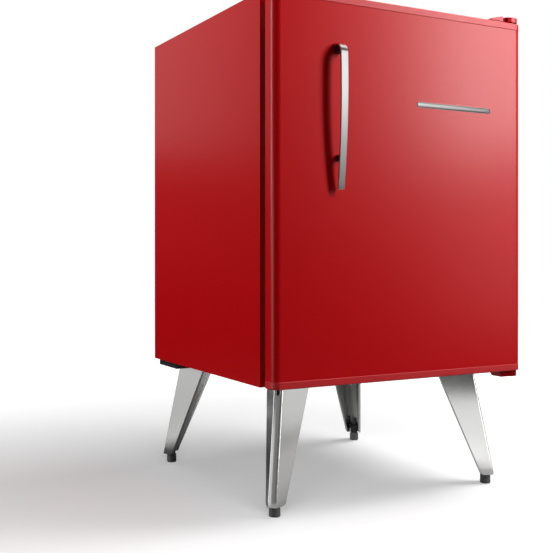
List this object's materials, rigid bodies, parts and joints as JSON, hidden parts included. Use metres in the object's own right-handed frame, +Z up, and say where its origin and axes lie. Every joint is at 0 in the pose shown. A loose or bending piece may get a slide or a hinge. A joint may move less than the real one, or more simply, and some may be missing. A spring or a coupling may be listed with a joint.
{
  "type": "mini fridge",
  "caption": "Retro compact refrigerator: boxy cabinet and hinged door with bowed strip handle, on splayed folded-sheet legs, with shelves, freezer box and compressor inside.",
  "frame": {"origin": "on the floor, under the middle of the whole fridge", "axes": "+Z up, -Y out of the door, +X towards the hinge side"},
  "size_m": [0.4836, 0.5118, 0.8005],
  "materials": {
    "case_red": "glossy red stove enamel",
    "door_red": "glossy red stove enamel",
    "cap_red": "glossy red moulded plastic",
    "hinge_red": "red enamel",
    "zinc": "zinc-plated sheet",
    "base_black": "black enamel",
    "compressor_black": "black enamel",
    "steel": "bright steel",
    "chrome": "satin chrome",
    "leg_chrome": "chromed pressed sheet",
    "foot_rubber": "dark grey rubber",
    "gasket_rubber": "dark flexible seal",
    "insert_black": "black moulded plastic",
    "liner_white": "white vacuum-formed sheet",
    "foam": "rigid insulation foam",
    "evaporator": "roll-bonded aluminium",
    "clear_bin": "translucent moulded plastic",
    "shelf_glass": "clear toughened glass",
    "trim_white": "white moulded plastic",
    "copper": "copper tube",
    "condenser_black": "black enamel",
    "magnet": "magnetic strip"
  },
  "bodies": {
    "cabinet": {"outer_case": "case_red", "bottom_panel": "zinc", "back_panel": "zinc", "cabinet_foam": "foam", "inner_liner": "liner_white", "freezer_box": "evaporator", "freezer_hangers": "trim_white", "thermostat_housing": "trim_white", "thermostat_tube": "copper", "top_hinge_bracket": "hinge_red", "bottom_hinge_bracket": "hinge_red", "hinge_pins": "steel", "hinge_screws": "steel", "top_hinge_cover": "cap_red", "leg_front_left": "leg_chrome", "leg_front_right": "leg_chrome", "leg_rear_left": "leg_chrome", "leg_rear_right": "leg_chrome", "leg_plates": "steel", "leg_inserts": "insert_black", "leg_screws": "steel", "compressor_base": "base_black", "compressor_shell": "compressor_black", "compressor_grommets": "foot_rubber", "compressor_bolts": "steel", "terminal_cover": "insert_black", "cord_gland": "insert_black", "evaporation_pan": "insert_black", "drain_tube": "insert_black", "condenser_tube": "condenser_black", "condenser_wires": "condenser_black", "condenser_brackets": "insert_black", "filter_drier": "copper", "refrigerant_lines": "copper"},
    "door": {"door_skin": "door_red", "door_liner": "liner_white", "door_foam": "foam", "door_gasket": "gasket_rubber", "gasket_magnet": "magnet", "door_top_cap": "cap_red", "door_bottom_cap": "cap_red", "hinge_bushes": "insert_black", "handle": "chrome", "handle_standoff": "insert_black", "handle_screws": "steel", "badge_plate": "chrome"},
    "freezer_flap": {"freezer_flap": "trim_white"},
    "drip_tray": {"drip_tray": "clear_bin"},
    "thermostat_knob": {"thermostat_knob": "trim_white"},
    "shelf_upper": {"shelf_upper": "shelf_glass", "shelf_upper_trim": "trim_white"},
    "shelf_lower": {"shelf_lower": "shelf_glass", "shelf_lower_trim": "trim_white"},
    "bin_lower": {"door_bin_lower": "clear_bin"},
    "bin_middle": {"door_bin_middle": "clear_bin"},
    "bin_upper": {"door_bin_upper": "clear_bin"},
    "foot_front_left": {"foot_front_left": "foot_rubber"},
    "foot_front_right": {"foot_front_right": "foot_rubber"},
    "foot_rear_left": {"foot_rear_left": "foot_rubber"},
    "foot_rear_right": {"foot_rear_right": "foot_rubber"}
  },
  "joints": [
    {"name": "door_hinge", "type": "hinge", "parent": "cabinet", "child": "door", "pos_m": [0.224, -0.21973, 0], "axis": [0, 0, 1], "range_deg": [0, 125]},
    {"name": "freezer_flap_hinge", "type": "hinge", "parent": "cabinet", "child": "freezer_flap", "pos_m": [0, -0.06772, 0.738], "axis": [-1, 0, 0], "range_deg": [0, 80]},
    {"name": "drip_tray_slide", "type": "slide", "parent": "cabinet", "child": "drip_tray", "axis": [0, -1, 0], "range_m": [0, 0.08]},
    {"name": "shelf_upper_slide", "type": "slide", "parent": "cabinet", "child": "shelf_upper", "axis": [0, -1, 0], "range_m": [0, 0.07]},
    {"name": "shelf_lower_slide", "type": "slide", "parent": "cabinet", "child": "shelf_lower", "axis": [0, -1, 0], "range_m": [0, 0.07]},
    {"name": "thermostat_turn", "type": "hinge", "parent": "cabinet", "child": "thermostat_knob", "pos_m": [0.162, -0.04272, 0.7195], "axis": [0, -1, 0], "range_deg": [0, 270]},
    {"name": "bin_lower_lift", "type": "slide", "parent": "door", "child": "bin_lower", "axis": [0, 0, 1], "range_m": [0, 0.012]},
    {"name": "bin_middle_lift", "type": "slide", "parent": "door", "child": "bin_middle", "axis": [0, 0, 1], "range_m": [0, 0.012]},
    {"name": "bin_upper_lift", "type": "slide", "parent": "door", "child": "bin_upper", "axis": [0, 0, 1], "range_m": [0, 0.012]},
    {"name": "foot_front_left_level", "type": "slide", "parent": "cabinet", "child": "foot_front_left", "axis": [0, 0, -1], "range_m": [0, 0.01]},
    {"name": "foot_front_right_level", "type": "slide", "parent": "cabinet", "child": "foot_front_right", "axis": [0, 0, -1], "range_m": [0, 0.01]},
    {"name": "foot_rear_left_level", "type": "slide", "parent": "cabinet", "child": "foot_rear_left", "axis": [0, 0, -1], "range_m": [0, 0.01]},
    {"name": "foot_rear_right_level", "type": "slide", "parent": "cabinet", "child": "foot_rear_right", "axis": [0, 0, -1], "range_m": [0, 0.01]}
  ]
}
